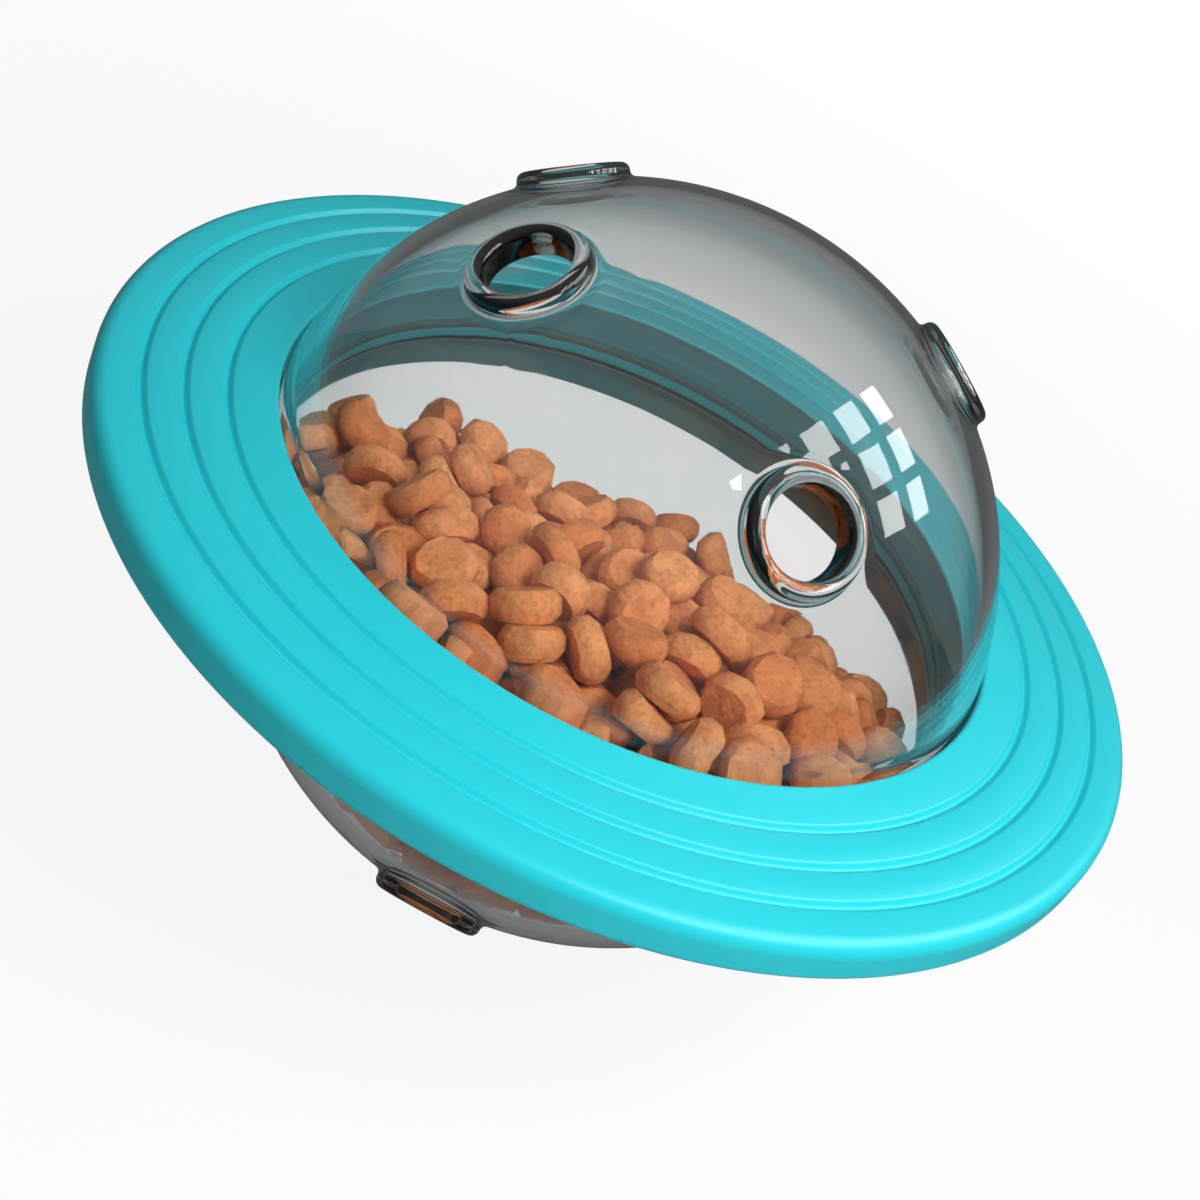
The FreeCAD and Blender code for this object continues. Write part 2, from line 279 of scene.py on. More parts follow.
@dataclass(frozen=True)
class BakedKibble:
    """Extruded, oven-baked kibble: matt, orange brown, pitted, and darker where it baked longer."""

    light: str = "#F9A96C"
    middle: str = "#E4874B"
    dark: str = "#944A25"
    patch: Pattern = Pattern(3.0, 4.0, 0.65)
    patch_span: Pair = (0.36, 0.62)
    patch_share: Pair = (0.6, 1.0)
    crumb: Pattern = Pattern(0.8, 2.0, 0.6)
    crumb_span: Pair = (0.3, 0.5)
    crumb_share: Pair = (0.62, 1.0)
    pit: Pattern = Pattern(1.1, 3.0, 0.6)
    pit_strength: float = 1.0
    pit_depth: float = 0.35

    def material(self) -> Material:
        """Returns the material, whose tone changes from kibble to kibble."""
        material, tree = new_material("baked_kibble")
        source = {"attribute_name": KibbleHeap.TONE, "attribute_type": "GEOMETRY"}
        tone = add_node(tree, "Attribute", source)
        body = blend_colours(tree, tone.outputs["Fac"], self.middle, self.light)
        patches = spread(tree, self.patch.add(tree), self.patch_span, self.patch_share)
        crumbs = spread(tree, self.crumb.add(tree), self.crumb_span, self.crumb_share)
        share = calculate(tree, "MULTIPLY", patches, crumbs)
        surface = {
            "Base Color": blend_colours(tree, share, self.dark, body),
            "Roughness": 0.72,
            "IOR": 1.45,
            "Specular IOR Level": 0.25,
            "Normal": bump(tree, self.pit.add(tree), self.pit_strength, self.pit_depth),
        }
        show(tree, add_node(tree, "BsdfPrincipled", surface))
        return material


@dataclass(frozen=True)
class MouldedSilicone:
    """Silicone rubber, moulded: a dark grey green, matt, and slightly dusty."""

    light: str = "#35595B"
    dark: str = "#284648"
    dust: Pattern = Pattern(2.5, 3.0)
    dust_span: Pair = (0.3, 0.7)
    roughness: Pair = (0.5, 0.65)

    def material(self) -> Material:
        """Returns the material."""
        material, tree = new_material("moulded_silicone_grey")
        dust = self.dust.add(tree)
        surface = {
            "Base Color": blend_colours(tree, dust, self.dark, self.light),
            "Roughness": spread(tree, dust, self.dust_span, self.roughness),
            "IOR": 1.41,
        }
        show(tree, add_node(tree, "BsdfPrincipled", surface))
        return material


@dataclass(frozen=True)
class SeamlessPaper:
    """A roll of white paper, matt: it takes soft shadows and fades into white behind the object.

    Rays that the domes bent or mirrored see a plain glow instead, dimmer far away and after a bounce
    inside a wall, so that the clear rims stand out. The lift is that glow's share in a straight
    look, and the fade the distances in metres between which both change.
    """

    light: str = "#F4F4F4"
    dark: str = "#F0F0F0"
    fibre: Pattern = Pattern(0.8, 2.0)
    fade: Pair = (0.14, 0.5)
    lift: float = 0.9
    far_glow: float = 0.35
    mirrored_glow: float = 0.12
    bounced_glow: float = 0.3

    def material(self) -> Material:
        """Returns the material."""
        material, tree = new_material("seamless_paper")
        surface = {
            "Base Color": blend_colours(tree, self.fibre.add(tree), self.dark, self.light),
            "Roughness": 0.9,
            "Specular IOR Level": 0.1,
        }
        paper = add_node(tree, "BsdfPrincipled", surface).outputs[0]
        place = add_node(tree, "TexCoord").outputs["Object"]
        away = add_node(tree, "VectorMath", {"operation": "LENGTH", 0: place}).outputs["Value"]
        path = add_node(tree, "LightPath").outputs
        bent, mirrored = path["Is Transmission Ray"], path["Is Glossy Ray"]
        dimmed = spread(tree, away, self.fade, (1.0, self.far_glow))
        bounced = spread(tree, path["Glossy Depth"], (0.0, 1.0), (1.0, self.bounced_glow))
        through = calculate(tree, "MULTIPLY", dimmed, bounced)
        straight = blend_values(tree, mirrored, 1.0, self.mirrored_glow)
        strength = blend_values(tree, bent, straight, through)
        light = {"Color": linear("#FFFFFF"), "Strength": strength}
        glow = add_node(tree, "Emission", light).outputs[0]
        lifted = spread(tree, away, self.fade, (self.lift, 1.0))
        seen = calculate(tree, "MULTIPLY", path["Is Camera Ray"], lifted)
        share = calculate(tree, "MAXIMUM", seen, calculate(tree, "MAXIMUM", bent, mirrored))
        show(tree, add_node(tree, "MixShader", {0: share, 1: paper, 2: glow}))
        return material


@dataclass
class Skin:
    """Points and faces gathered for one mesh, in millimetres."""

    MERGE_DISTANCE = 0.0005

    points: list[np.ndarray] = field(default_factory=list)
    faces: list[list[int]] = field(default_factory=list)
    total: int = 0

    def grid(self, points: np.ndarray, left_out: np.ndarray | None = None) -> None:
        """Adds a grid of points that closes on itself along its columns.

        Face (row, column) joins two rows and two neighbouring columns, the last and first too.

        Args:
            points: Rows by columns by three coordinates.
            left_out: True for each face that is left open, rows less one by columns.
        """
        rows, columns = points.shape[:2]
        index = np.arange(rows * columns).reshape(rows, columns) + self.total
        after = np.roll(index, -1, axis=1)
        quads = np.stack([index[:-1], after[:-1], after[1:], index[1:]], axis=-1)
        kept = quads.reshape(-1, 4) if left_out is None else quads[~left_out]
        self.points.append(points.reshape(-1, 3))
        self.faces.extend(kept.tolist())
        self.total += rows * columns

    def prism(self, outline: np.ndarray, depth: np.ndarray) -> None:
        """Adds a flat plate from its middle outline and the vector across it."""
        count = len(outline)
        low = np.arange(count) + self.total
        high = low + count
        sides = np.stack([low, np.roll(low, -1), np.roll(high, -1), high], axis=-1)
        self.points.append(np.concatenate([outline - depth / 2, outline + depth / 2]))
        self.faces.extend(sides.tolist())
        self.faces.extend([low[::-1].tolist(), high.tolist()])
        self.total += 2 * count

    def piece(self, name: str, sharp: float = 40.0, turn: Matrix | None = None) -> Item:
        """Makes the object, with doubles merged, normals outwards and smooth shading.

        Args:
            name: Name of the object and its mesh.
            sharp: Angle in degrees past which an edge is shown sharp.
            turn: Rotation that is put into the mesh.

        Returns:
            The new object, at the origin.
        """
        mesh = bpy.data.meshes.new(name)
        mesh.from_pydata((np.concatenate(self.points) * MM).tolist(), [], self.faces)
        shape = bmesh.new()
        shape.from_mesh(mesh)
        bmesh.ops.remove_doubles(shape, verts=shape.verts, dist=self.MERGE_DISTANCE * MM)
        if turn is not None:
            bmesh.ops.transform(shape, matrix=turn, verts=shape.verts)
        bmesh.ops.recalc_face_normals(shape, faces=shape.faces)
        shape.to_mesh(mesh)
        shape.free()
        mesh.polygons.foreach_set("use_smooth", np.ones(len(mesh.polygons), bool))
        mesh.set_sharp_from_angle(angle=math.radians(sharp))
        return add_item(name, mesh)


def spun(outline: np.ndarray, columns: int) -> np.ndarray:
    """Carries an outline of radius and height round the Z axis.

    Point (row, column) is (radius cos a, radius sin a, height), where a runs once round.

    Args:
        outline: One row for each point of the outline.
        columns: Number of steps round the axis.

    Returns:
        Rows by columns by three coordinates.
    """
    turn = np.linspace(0, 2 * np.pi, columns, endpoint=False)
    radius, height = outline[:, :1], outline[:, 1:]
    return np.stack([radius * np.cos(turn), radius * np.sin(turn), height + 0 * turn], axis=-1)


def rounded(corners: Sequence[Triple], steps: int = 6, margin: float = 0.12) -> np.ndarray:
    """Rounds the corners of a closed outline.

    Each corner becomes a circular arc that touches both sides, written as a weighted quadratic
    curve: its middle control is the corner, with the sine of half the corner's angle as its weight.
    A point just outside each end keeps the sides flat.

    Args:
        corners: Radius, height and rounding of each corner in turn, with 0 for a sharp one.
        steps: Number of sides of each arc.
        margin: Distance of the outside points from the arc's ends, over the rounding.

    Returns:
        The outline's points, with the first one repeated at the end.
    """
    data = np.array(corners, float)
    share = np.linspace(0, 1, steps + 1)[:, None]
    runs = []
    for before, corner, after in zip(np.roll(data, 1, 0), data, np.roll(data, -1, 0)):
        here, rounding = corner[:2], corner[2]
        if rounding == 0:
            runs.append(here[None])
            continue
        back = (before[:2] - here) / np.linalg.norm(before[:2] - here)
        ahead = (after[:2] - here) / np.linalg.norm(after[:2] - here)
        half = math.acos(float(np.clip(back @ ahead, -1, 1))) / 2
        start = here + back * rounding / math.tan(half)
        stop = here + ahead * rounding / math.tan(half)
        weight = math.sin(half)
        one, two, three = (1 - share) ** 2, 2 * weight * share * (1 - share), share**2
        arc = (one * start + two * here + three * stop) / (one + two + three)
        outside = margin * rounding
        runs.append(np.concatenate([[start + back * outside], arc, [stop + ahead * outside]]))
    outline = np.concatenate(runs)
    return np.concatenate([outline, outline[:1]])


def dress(piece: Item, material: Material, slot: Slot, body: Body, *nodes: str) -> None:
    """Gives a new piece its looks and its place in the frame.

    Args:
        piece: The piece.
        material: Material of all its faces.
        slot: The record's slot that it fills. Not used.
        body: Body that the piece moves with.
        *nodes: Solids that it stands for.
    """
    piece.data.materials.clear()
    piece.data.materials.append(material)
    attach(piece, body.value)
    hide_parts(*nodes)
    LOG.info("%s rides on %s, %d faces", piece.name, body.value, len(piece.data.polygons))


@dataclass
class Dome:
    """One clear dome, pole up: a part of a sphere with a raised bead round each treat hole.

    A straight collar goes from there down to its rim in the hub. Each hole is given by its azimuth
    and its angle from the pole, in degrees.
    """

    collar: float
    rim_height: float
    radius: float = 53.4
    wall: float = 2.2
    rim_chamfer: float = 0.3
    hole_radius: float = 5.4
    bead_width: float = 2.4
    bead_height: float = 2.0
    bead_foot: float = 0.8
    bore_round: float = 0.4
    holes: tuple[Pair, ...] = ((217.7, 37.1), (296.8, 45.6), (29.0, 37.0), (155.0, 38.5))
    lower_turn: float = 207.0
    columns: int = 180
    rows: int = 44
    patch_columns: int = 20
    patch_rows: int = 14
    patch_steps: int = 4
    curve_steps: int = 5
    crest_steps: int = 16
    sharp: float = 50.0

    def polar(self, radius: float) -> np.ndarray:
        """Angles from the pole of the rows on a sphere, the last one where the collar starts."""
        angles = np.linspace(0, math.asin(self.collar / self.radius), self.rows + 1)
        angles[-1] = math.asin((self.collar - self.radius + radius) / radius)
        return angles

    def sphere(self, radius: float) -> np.ndarray:
        """Grid of points on a sphere, from the pole to the collar."""
        polar = self.polar(radius)
        return spun(radius * np.stack([np.sin(polar), np.cos(polar)], axis=-1), self.columns)

    def border(self, azimuth: float, polar: float) -> tuple[np.ndarray, np.ndarray]:
        """Rows and columns of the grid points round a hole's patch, in turn, from its top left."""
        step = self.polar(self.radius)[1]
        high, wide = self.patch_rows, self.patch_columns
        top = round(math.radians(polar) / step) - high // 2
        left = round(azimuth * self.columns / 360) - wide // 2
        down, across = np.arange(high), np.arange(wide)
        rows = np.concatenate([0 * across, down, 0 * across + high, high - down])
        columns = np.concatenate([across, 0 * down + wide, wide - across, 0 * down])
        return rows + top, columns + left

    def curve(self, start: Pair, middle: Pair, stop: Pair) -> np.ndarray:
        """Quadratic curve from one end to the other, drawn towards the middle control."""
        share = np.linspace(0, 1, self.curve_steps + 1)[:, None]
        parts = (1 - share) ** 2, 2 * share * (1 - share), share**2
        return sum(part * np.array(point) for part, point in zip(parts, (start, middle, stop)))

    def bead_outline(self) -> np.ndarray:
        """Outline of a bead, from the outer sphere over its crest down the bore to the inner one.

        The foot and the bore's lower edge are quadratic curves, and the crest is a half circle.

        Returns:
            Distance from the hole's axis and height along it, one row for each point.
        """
        hole, half = self.hole_radius, self.bead_width / 2
        side, inner = hole + self.bead_width, self.radius - self.wall
        base = math.sqrt(self.radius**2 - side**2)
        wide = side + self.bead_foot
        start = wide, math.sqrt(self.radius**2 - wide**2)
        foot = self.curve(start, (side, base), (side, base + self.bead_foot))
        turn = np.linspace(0, np.pi, self.crest_steps + 1)[1:, None]
        crest_height = base + self.bead_height - half
        crest = np.hstack([hole + half + half * np.cos(turn), crest_height + half * np.sin(turn)])
        bottom = math.sqrt(inner**2 - hole**2)
        eased = hole + self.bore_round
        stop = eased, math.sqrt(inner**2 - eased**2)
        edge = self.curve((hole, bottom + self.bore_round), (hole, bottom), stop)
        return np.concatenate([foot, crest, edge])

    def axes(self, azimuth: float, polar: float) -> tuple[np.ndarray, np.ndarray, np.ndarray]:
        """Unit vectors of a hole: along its axis, to its side, and their cross product."""
        turn, tilt = math.radians(azimuth), math.radians(polar)
        level = np.array([math.cos(turn), math.sin(turn), 0.0])
        axis = math.sin(tilt) * level + math.cos(tilt) * np.array([0.0, 0.0, 1.0])
        side = np.array([-math.sin(turn), math.cos(turn), 0.0])
        return axis, side, np.cross(axis, side)

    def patch(self, azimuth: float, polar: float) -> np.ndarray:
        """Grid of points on one hole's patch, from the outer grid over the bead to the inner.

        Each column is a half plane through the hole's axis and one border point. On both spheres
        the rows run from the border's angle off the axis to the bead's in equal steps.
        """
        rows, columns = self.border(azimuth, polar)
        axis, side, up = self.axes(azimuth, polar)
        border = self.sphere(self.radius)[rows, columns % self.columns] / self.radius
        off = np.arccos(border @ axis)
        turn = np.arctan2(border @ up, border @ side)
        outline = self.bead_outline()
        share = np.linspace(0, 1, self.patch_steps + 1)[:-1, None]
        inner = self.radius - self.wall
        outer_off = off + (math.asin(outline[0, 0] / self.radius) - off) * share
        inner_off = off + (math.asin(outline[-1, 0] / inner) - off) * share[::-1]
        bead = np.repeat(outline[:, None], len(turn), axis=1)
        distance, height = (
            np.concatenate([self.radius * part(outer_off), run, inner * part(inner_off)])
            for part, run in ((np.sin, bead[..., 0]), (np.cos, bead[..., 1]))
        )
        spoke = np.cos(turn)[:, None] * side + np.sin(turn)[:, None] * up
        return height[..., None] * axis + distance[..., None] * spoke

    def rim(self) -> np.ndarray:
        """Outline of the collar and its rim, from the outer sphere round to the inner one."""
        outer, inner = self.radius, self.radius - self.wall
        collar, inside = self.collar, self.collar - self.wall
        low, eased = self.rim_height, self.rim_chamfer
        return np.array(
            [
                (collar, math.sqrt(max(outer**2 - collar**2, 0.0))),
                (collar, low + eased),
                (collar - eased, low),
                (inside + eased, low),
                (inside, low + eased),
                (inside, math.sqrt(max(inner**2 - inside**2, 0.0))),
            ]
        )

    def build(self, name: str, lower: bool) -> Item:
        """Builds the dome as one closed wall, turned over about X and then about Z if lower."""
        skin = Skin()
        open_faces = np.zeros((self.rows, self.columns), bool)
        for azimuth, polar in self.holes:
            rows, columns = self.border(azimuth, polar)
            across = np.arange(columns.min(), columns.max()) % self.columns
            open_faces[np.ix_(np.arange(rows.min(), rows.max()), across)] = True
            skin.grid(self.patch(azimuth, polar))
        skin.grid(self.sphere(self.radius), open_faces)
        skin.grid(self.sphere(self.radius - self.wall), open_faces)
        skin.grid(spun(self.rim(), self.columns))
        about_z = Matrix.Rotation(math.radians(self.lower_turn), 4, "Z")
        turn = about_z @ Matrix.Rotation(math.pi, 4, "X") if lower else None
        return skin.piece(name, self.sharp, turn)


@dataclass
class SaucerRing:
    """The flat saucer ring: a grooved top shell over a conical lower shell with a ledge and ribs.

    Its outlines are drawn about its middle plane, which lies above the ball's centre by its rise.
    """

    radius: float = 75.0
    rise: float = 3.8
    half_height: float = 8.6
    rim_bottom: float = 3.1
    top_round: float = 1.8
    lip_wall: float = 2.2
    lip_height: float = 1.8
    plate: float = 2.4
    upper_bore: float = 52.3
    lower_bore: float = 53.8
    hub_outside: float = 55.8
    foot_radius: float = 57.5
    ledge: float = 0.8
    ledge_radius: float = 49.7
    lap: float = 2.5
    fit: float = 0.15
    groove_radii: tuple[float, ...] = (58.9, 64.2, 69.3)
    groove_half_width: float = 0.85
    groove_depth: float = 0.7
    groove_steps: int = 14
    rib_count: int = 8
    rib_wall: float = 1.6
    columns: int = 288
    sharp: float = 60.0

    def grooves(self) -> np.ndarray:
        """Points of the grooves in the top, outwards.

        Each groove is one wave of a cosine: full depth at its radius and no slope at either side.
        """
        share = np.linspace(-1, 1, self.groove_steps + 1)
        dip = self.groove_depth * (0.5 + 0.5 * np.cos(np.pi * share))
        runs = [
            np.stack([radius + self.groove_half_width * share, self.half_height - dip], axis=-1)
            for radius in self.groove_radii
        ]
        return np.concatenate(runs)

    def upper_outline(self) -> np.ndarray:
        """Closed outline of the top shell, starting on its top inside the first groove."""
        top = self.half_height
        parting = self.ledge + self.fit
        lap_radius = (self.upper_bore + self.hub_outside - self.fit) / 2
        corners = [
            (self.upper_bore, top, 0.7),
            (self.radius, top, self.top_round),
            (self.radius, self.rim_bottom, 0.9),
            (self.radius - self.lip_wall, self.rim_bottom, 0.3),
            (self.radius - self.lip_wall, top - self.plate, 0.5),
            (self.hub_outside, top - self.plate, 0.5),
            (self.hub_outside, parting + self.lap, 0.2),
            (lap_radius, parting + self.lap, 0),
            (lap_radius, parting, 0.15),
            (self.upper_bore, parting, 0.25),
        ]
        outline = rounded(corners)
        first = int(np.argmax(outline[:, 0] > self.groove_radii[0]))
        return np.concatenate([outline[:first], self.grooves(), outline[first:]])

    def cone(self, radius: float, lift: float = 0.0) -> float:
        """Height of the conical underside at a radius, raised by a distance."""
        rim = self.radius - self.lip_wall - self.fit
        share = (radius - self.foot_radius) / (rim - self.foot_radius)
        return -self.half_height + share * (self.rim_bottom + self.half_height) + lift

    def lower_outline(self) -> np.ndarray:
        """Closed outline of the lower shell, starting on the ledge's lower edge."""
        bottom = -self.half_height
        rim = self.radius - self.lip_wall - self.fit
        inside = rim - self.lip_wall
        lip = self.rim_bottom + self.lip_height
        lap_radius = (self.upper_bore + self.hub_outside + self.fit) / 2
        corners = [
            (self.ledge_radius, -self.ledge, 0.25),
            (self.ledge_radius, self.ledge, 0.25),
            (lap_radius, self.ledge, 0),
            (lap_radius, self.ledge + self.lap, 0.15),
            (self.hub_outside, self.ledge + self.lap, 0.15),
            (self.hub_outside, bottom + self.plate, 0.6),
            (self.foot_radius, bottom + self.plate, 0.6),
            (inside, self.cone(inside, self.plate), 0.6),
            (inside, lip, 0.2),
            (rim, lip, 0.3),
            (rim, self.rim_bottom, 0.3),
            (self.foot_radius, bottom, 1.6),
            (self.lower_bore, bottom, 0.7),
            (self.lower_bore, -self.ledge, 0.2),
        ]
        return rounded(corners)

    def ribs(self, skin: Skin) -> None:
        """Adds the radial ribs, plates let into the lower shell's floor and walls."""
        root = (self.lower_bore + self.hub_outside) / 2
        clear = self.hub_outside + self.fit
        outer = self.radius - self.lip_wall - self.fit - self.lip_wall / 2
        roof = self.half_height - self.plate - self.fit
        floor = self.plate / 2
        section = np.array(
            [
                (root, -self.half_height + floor),
                (self.foot_radius, self.cone(self.foot_radius, floor)),
                (outer, self.cone(outer, floor)),
                (outer, roof),
                (clear, roof),
                (clear, -self.ledge),
                (root, -self.ledge),
            ]
        )
        for index in range(self.rib_count):
            turn = 2 * math.pi * (index + 0.5) / self.rib_count
            out = np.array([math.cos(turn), math.sin(turn), 0.0])
            across = np.array([-math.sin(turn), math.cos(turn), 0.0])
            height = section[:, 1:] + self.rise
            outline = section[:, :1] * out + height * np.array([0.0, 0.0, 1.0])
            skin.prism(outline, across * self.rib_wall)

    def build(self) -> tuple[Item, Item]:
        """Builds the top shell and the lower shell."""
        raised = np.array([0.0, self.rise])
        upper = Skin()
        upper.grid(spun(self.upper_outline() + raised, self.columns))
        lower = Skin()
        lower.grid(spun(self.lower_outline() + raised, self.columns))
        self.ribs(lower)
        return upper.piece("ring_top", self.sharp), lower.piece("ring_underside", self.sharp)


@dataclass(frozen=True)
class Tumbler:
    """The closed space in which the kibbles tumble and settle as rigid bodies.

    It is a sphere, drawn in to the neck's radius in the hub. Gravity points three other ways, each
    for some frames, before it points down. The scale is a millimetre's length during the fall.
    """

    reach: float = 51.0
    neck: float = 49.4
    neck_height: float = 1.0
    rows: int = 48
    columns: int = 72
    scale: float = 0.1
    pull: float = 40.0
    tumbles: tuple[tuple[float, float, float, int], ...] = (
        (1.0, 0.2, -0.6, 16),
        (-0.7, 0.7, 0.9, 16),
        (-0.3, -1.0, 0.3, 16),
    )
    settle_frames: int = 70
    substeps: int = 8
    solver_steps: int = 12
    kibble_friction: float = 0.55
    wall_friction: float = 0.3
    margin: float = 0.004
    damping: Pair = (0.1, 0.2)

    def cage(self) -> np.ndarray:
        """Grid of points on the inside of the space."""
        polar = np.linspace(0, np.pi, self.rows + 1)
        outline = self.reach * np.stack([np.sin(polar), np.cos(polar)], axis=-1)
        above = outline[:, 1] > self.neck_height
        outline[above, 0] = np.minimum(outline[above, 0], self.neck)
        return spun(outline, self.columns)

    def shape(self, name: str, points: np.ndarray) -> Item:
        """Makes an object of one grid in millimetres, at the scale of the fall."""
        skin = Skin()
        skin.grid(points * self.scale / MM)
        return skin.piece(name)

    def harden(self, bodies: list[Item], kind: str, shape: str, friction: float) -> None:
        """Makes the bodies rigid, with one kind, collision shape and friction."""
        bpy.ops.object.select_all(action="DESELECT")
        for body in bodies:
            body.select_set(True)
        bpy.context.view_layer.objects.active = bodies[0]
        bpy.ops.rigidbody.objects_add(type=kind)
        for rigid in (body.rigid_body for body in bodies):
            rigid.collision_shape = shape
            rigid.friction = friction
            rigid.restitution = 0.0
            rigid.use_margin = True
            rigid.collision_margin = self.margin

    def pulls(self, down: np.ndarray) -> list[Vector]:
        """Gravity in each frame, where down is its last direction."""
        pulls = []
        for x, y, z, length in self.tumbles:
            pulls += [Vector((x, y, z)).normalized() * self.pull] * length
        return pulls + [Vector(down) * self.pull] * self.settle_frames

    def settle(
        self, kibble: np.ndarray, places: np.ndarray, turns: np.ndarray, down: np.ndarray
    ) -> tuple[np.ndarray, np.ndarray]:
        """Lets kibbles fall until they lie still.

        Args:
            kibble: Grid of points on one kibble.
            places: Where the kibbles start, in millimetres.
            turns: Their rotation matrices at the start.
            down: Unit vector of gravity at the end.

        Returns:
            Their places and rotation matrices at the end.
        """
        scene = bpy.context.scene
        pulls = self.pulls(down)
        bpy.ops.rigidbody.world_add()
        world = scene.rigidbody_world
        world.substeps_per_frame = self.substeps
        world.solver_iterations = self.solver_steps
        world.point_cache.frame_end = len(pulls) + 1
        shape = self.shape("falling_kibble", kibble)
        bodies = []
        for place, turn in zip(places, turns):
            body = add_item("falling_kibble", shape.data)
            start = Matrix.Translation(Vector(place * self.scale))
            body.matrix_world = start @ Matrix(turn).to_4x4()
            bodies.append(body)
        cage = self.shape("falling_cage", self.cage())
        self.harden(bodies, "ACTIVE", "CONVEX_HULL", self.kibble_friction)
        for body in bodies:
            body.rigid_body.linear_damping, body.rigid_body.angular_damping = self.damping
        self.harden([cage], "PASSIVE", "MESH", self.wall_friction)
        old_pull = scene.gravity.copy()
        for step, pull in enumerate(pulls, start=1):
            scene.gravity = pull
            scene.frame_set(step)
        worlds = np.array([np.array(body.matrix_world) for body in bodies])
        bpy.ops.rigidbody.world_remove()
        scene.gravity = old_pull
        scene.frame_set(1)
        for body in [*bodies, cage, shape]:
            bpy.data.objects.remove(body)
        return worlds[:, :3, 3] / self.scale, worlds[:, :3, :3]


@dataclass
class KibbleHeap:
    """Baked kibble discs that fell into the ball and settled, somewhat towards the front.

    Attributes:
        near_wall: Distance from the ball's centre past which a kibble is moved out to the wall.
        gaps: Free space at the start: beside a kibble, above it and to the wall.
        swells: Height of the two and of the three waves round a kibble, over its radius.
        sizes: Smallest and largest radius, over the plain one. The heights are alike.
        wedge: How much thicker one side is, over the height.
    """

    TONE = "bake"
    OUTLINE = ((0.0, 1.0), (0.79, 0.9), (0.98, 0.38), (0.98, -0.38), (0.79, -0.9), (0.0, -1.0))

    count: int = 790
    radius: float = 4.5
    half_height: float = 2.15
    sides: int = 10
    seed: int = 20
    ball: Tumbler = Tumbler()
    near_wall: float = 48.6
    slope: float = 13.0
    level: float = -2.6
    level_margin: float = 2.0
    layers: int = 9
    gaps: Triple = (0.7, 1.0, 0.6)
    lean: float = 7.0
    swells: Pair = (0.035, 0.025)
    sizes: Pair = (0.93, 1.03)
    heights: Pair = (0.88, 1.04)
    wedge: float = 0.1
    sharp: float = 42.0

    def down(self) -> np.ndarray:
        """Unit vector of gravity. The heap's surface lies across it, higher towards the front."""
        tilt = math.radians(self.slope)
        return np.array([0.0, -math.sin(tilt), -math.cos(tilt)])

    def disc(self) -> np.ndarray:
        """Grid of points on one even kibble."""
        return spun(np.array(self.OUTLINE) * (self.radius, self.half_height), self.sides)

    def starts(self) -> tuple[np.ndarray, np.ndarray]:
        """Places and rotation matrices before the fall: staggered layers inside the ball."""
        rng = np.random.default_rng(self.seed)
        beside, above, to_wall = self.gaps
        pitch, layer = 2 * self.radius + beside, 2 * self.half_height + above
        span = np.arange(-self.layers, self.layers + 1)
        level, row, column = (axis.ravel() for axis in np.meshgrid(span, span, span, indexing="ij"))
        places = np.stack(
            [
                pitch * (column + 0.5 * (row % 2) + 0.25 * (level % 2)),
                pitch * math.sqrt(0.75) * (row + (level % 2) / 3),
                layer * level,
            ],
            axis=-1,
        )
        places = places[np.linalg.norm(places, axis=1) < self.ball.reach - self.radius - to_wall]
        order = np.argsort(-(places @ self.down()), kind="stable")
        places = places[order][: self.count]
        spins = rng.uniform(0, 2 * np.pi, len(places))
        leans = np.radians(rng.uniform(-self.lean, self.lean, (2, len(places))))
        turns = [
            Matrix.Rotation(spin, 3, "Z") @ Matrix.Rotation(x, 3, "X") @ Matrix.Rotation(y, 3, "Y")
            for spin, x, y in zip(spins, *leans)
        ]
        return places, np.array([np.array(turn) for turn in turns])

    def shapes(self, rng: np.random.Generator, number: int) -> np.ndarray:
        """Grids of points on uneven kibbles, each about its own centre.

        Around a kibble its radius swells by two and three waves, and its height tapers to one side.
        """
        disc = self.disc()
        around = np.arctan2(disc[..., 1], disc[..., 0])
        waves = rng.uniform(0, 2 * np.pi, (3, number, 1, 1))
        two, three = self.swells
        swell = 1 + two * np.cos(2 * around + waves[0]) + three * np.cos(3 * around + waves[1])
        size = rng.uniform(*self.sizes, (number, 1, 1))
        out = np.hypot(disc[..., 0], disc[..., 1]) / self.radius
        height = rng.uniform(*self.heights, (number, 1, 1))
        taper = height + self.wedge * out * np.cos(around - waves[2])
        wide = swell * size
        return np.stack([disc[..., 0] * wide, disc[..., 1] * wide, disc[..., 2] * taper], axis=-1)

    def build(self) -> Item:
        """Builds the heap as one mesh of separate closed kibbles."""
        places, turns = self.starts()
        places, turns = self.ball.settle(self.disc(), places, turns, self.down())
        rng = np.random.default_rng(self.seed + 1)
        shapes = self.shapes(rng, len(places))
        placed = np.einsum("nij,nrcj->nrci", turns, shapes) + places[:, None, None, :]
        skin = Skin()
        for kibble in self.kept_inside(placed):
            skin.grid(kibble)
        piece = skin.piece("kibble_heap", self.sharp)
        self.tones(piece, len(places), rng)
        return piece

    def kept_inside(self, placed: np.ndarray) -> np.ndarray:
        """Moves each kibble in by what reaches past the sphere, then past the neck.

        One that lies near the sphere is moved out to it first.
        """
        ball = self.ball
        for axes, limit, floor in ((3, ball.reach, -ball.reach), (2, ball.neck, ball.neck_height)):
            far = np.linalg.norm(placed[..., :axes], axis=-1)
            past = np.where(placed[..., 2] > floor, far - limit, 0).clip(0, None).max(axis=(1, 2))
            if axes == 3:
                reached = far.max(axis=(1, 2))
                past = np.where(reached > self.near_wall, reached - limit, 0)
            middle = placed.mean(axis=(1, 2))
            middle[:, axes:] = 0
            out = middle / np.maximum(np.linalg.norm(middle, axis=1, keepdims=True), 1.0)
            placed = placed - (past[:, None] * out)[:, None, None, :]
        return placed

